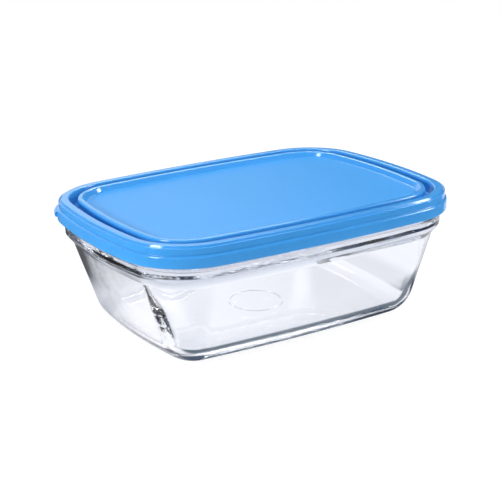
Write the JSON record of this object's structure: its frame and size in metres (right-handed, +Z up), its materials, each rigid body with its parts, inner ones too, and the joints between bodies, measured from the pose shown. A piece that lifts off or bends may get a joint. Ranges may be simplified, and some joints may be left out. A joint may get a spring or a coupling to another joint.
{
  "type": "glass storage container",
  "caption": "Rectangular clear glass storage box with sloping walls, a collar and rounded corners, closed by a lift-off blue plastic lid with a stepped skirt and a sunk panel.",
  "frame": {"origin": "middle of the base, on the surface that the box stands on", "axes": "+X along the length, +Y along the width to the back, +Z up; the lift lug is on the -X +Y corner"},
  "size_m": [0.202, 0.1534, 0.0733],
  "materials": {
    "clear_glass": "clear pressed glass, smooth, with a faint mould ripple",
    "lid_plastic": "light blue polyethylene, satin on the rim and skirt, fine-grained on the panel"
  },
  "bodies": {
    "dish": {"glass_dish": "clear_glass"},
    "lid": {"lid": "lid_plastic"}
  },
  "joints": [
    {"name": "lid_lift", "type": "slide", "parent": "dish", "child": "lid", "axis": [0, 0, 1], "range_m": [0, 0.06]}
  ]
}
